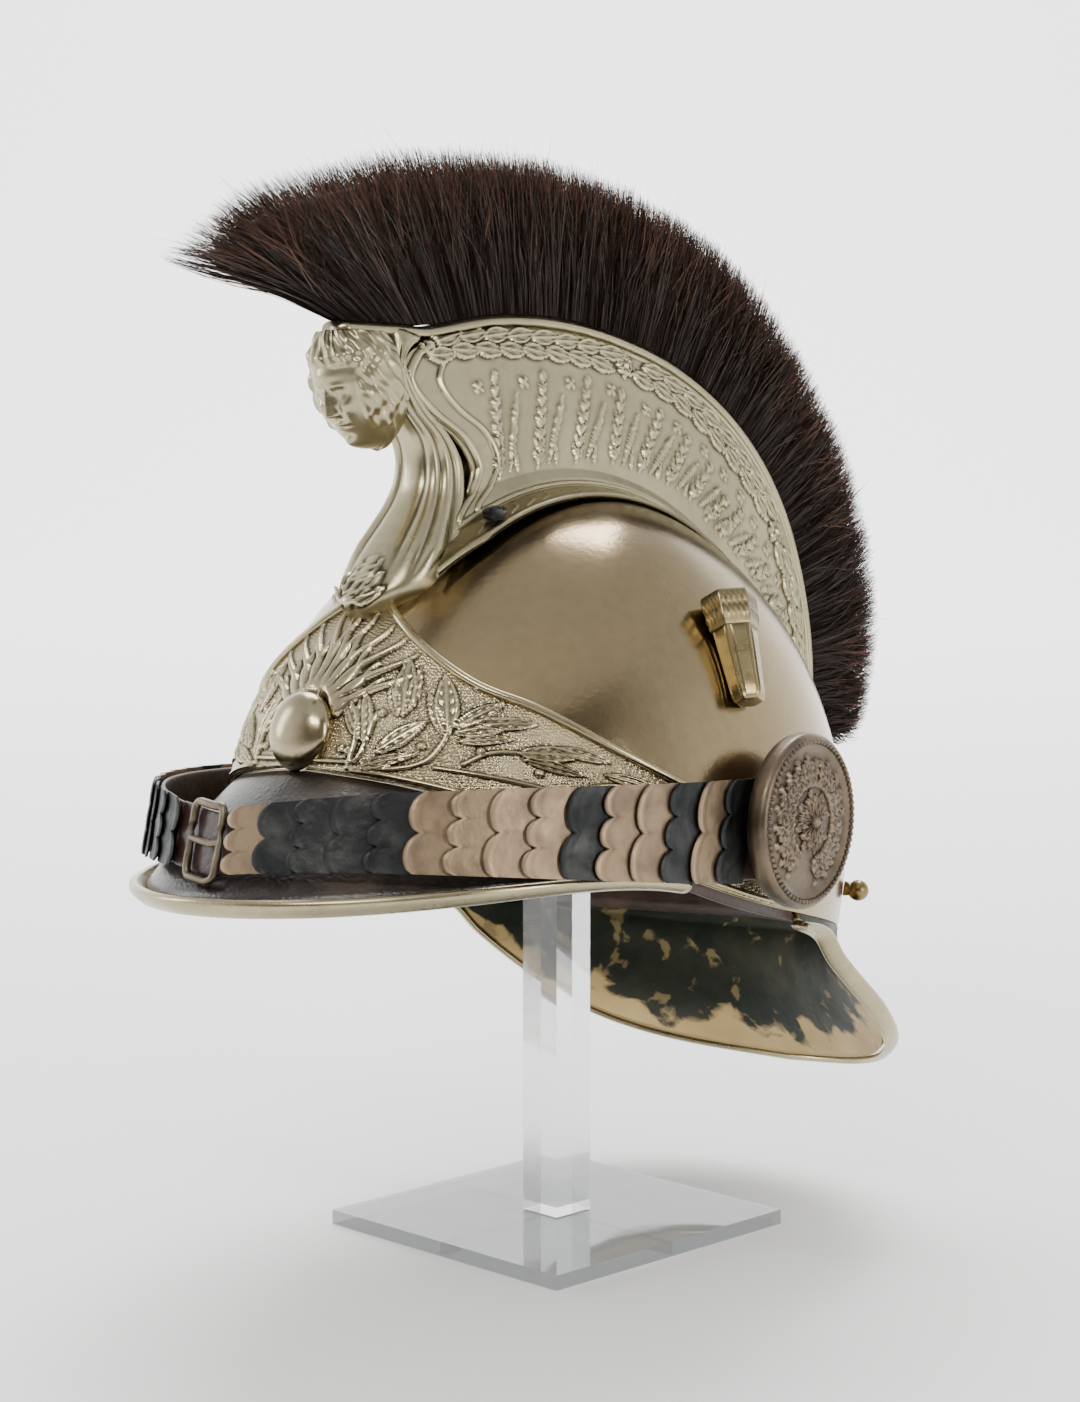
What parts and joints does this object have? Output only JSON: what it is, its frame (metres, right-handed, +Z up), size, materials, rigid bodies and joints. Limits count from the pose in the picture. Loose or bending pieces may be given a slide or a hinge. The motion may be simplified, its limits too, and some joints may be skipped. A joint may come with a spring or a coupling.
{
  "type": "gendarme helmet on display stand",
  "caption": "Brass dress helmet with a fluted comb, horsehair brush, stamped frontal plate, peak, neck guard and scaled chin strap, held up by a clear post stand.",
  "frame": {"origin": "centre of the stand's underside, on the surface it stands on", "axes": "+Z up, the helmet faces -Y, +X to the wearer's left"},
  "size_m": [0.2186, 0.3258, 0.361],
  "materials": {
    "clear_acrylic": "clear polished acrylic",
    "skull_brass": "worn polish with brown patina",
    "pale_brass": "silvery worn brass, darker in the recesses",
    "olive_brass": "dull olive brass",
    "boss_brass": "brown-grey patina",
    "tan_scale_brass": "dull tan brass",
    "dark_scale_brass": "blackened brass",
    "dark_steel": "blackened screw steel",
    "brown_leather": "red-brown, cracked",
    "black_leather": "black, worn",
    "black_horsehair": "black-brown horsehair"
  },
  "bodies": {
    "root": {"stand_base": "clear_acrylic", "stand_cap": "clear_acrylic", "stand_post": "clear_acrylic", "skull": "skull_brass", "sweatband": "brown_leather", "peak": "black_leather", "peak_binding": "pale_brass", "neck_guard": "skull_brass", "neck_guard_binding": "pale_brass", "frontal_plate": "pale_brass", "comb_left": "pale_brass", "comb_right": "pale_brass", "comb_crest": "pale_brass", "comb_neck": "pale_brass", "mask": "pale_brass", "brush": "black_horsehair", "comb_screw_left": "dark_steel", "comb_screw_right": "dark_steel", "plume_holder": "olive_brass", "boss_left": "boss_brass", "boss_right": "boss_brass", "rear_stud_left": "olive_brass", "rear_stud_right": "olive_brass", "chinscale_left_01": "dark_scale_brass", "chinscale_left_02": "tan_scale_brass", "chinscale_left_03": "dark_scale_brass", "chinscale_left_04": "tan_scale_brass", "chinscale_left_05": "tan_scale_brass", "chinscale_left_06": "dark_scale_brass", "chinscale_left_07": "tan_scale_brass", "chinscale_left_08": "tan_scale_brass", "chinscale_left_09": "tan_scale_brass", "chinscale_left_10": "tan_scale_brass", "chinscale_left_11": "dark_scale_brass", "chinscale_left_12": "dark_scale_brass", "chinscale_left_13": "dark_scale_brass", "chinscale_left_14": "dark_scale_brass", "chinscale_left_15": "tan_scale_brass", "chinscale_right_01": "dark_scale_brass", "chinscale_right_02": "tan_scale_brass", "chinscale_right_03": "dark_scale_brass", "chinscale_right_04": "tan_scale_brass", "chinscale_right_05": "tan_scale_brass", "chinscale_right_06": "dark_scale_brass", "chinscale_right_07": "tan_scale_brass", "chinscale_right_08": "tan_scale_brass", "chinscale_right_09": "tan_scale_brass", "chinscale_right_10": "tan_scale_brass", "chinscale_right_11": "dark_scale_brass", "chinscale_right_12": "dark_scale_brass", "chinscale_right_13": "dark_scale_brass", "chinscale_right_14": "dark_scale_brass", "scale_leather_left": "brown_leather", "scale_leather_right": "brown_leather", "front_strap": "black_leather", "strap_buckle": "olive_brass"}
  },
  "joints": []
}
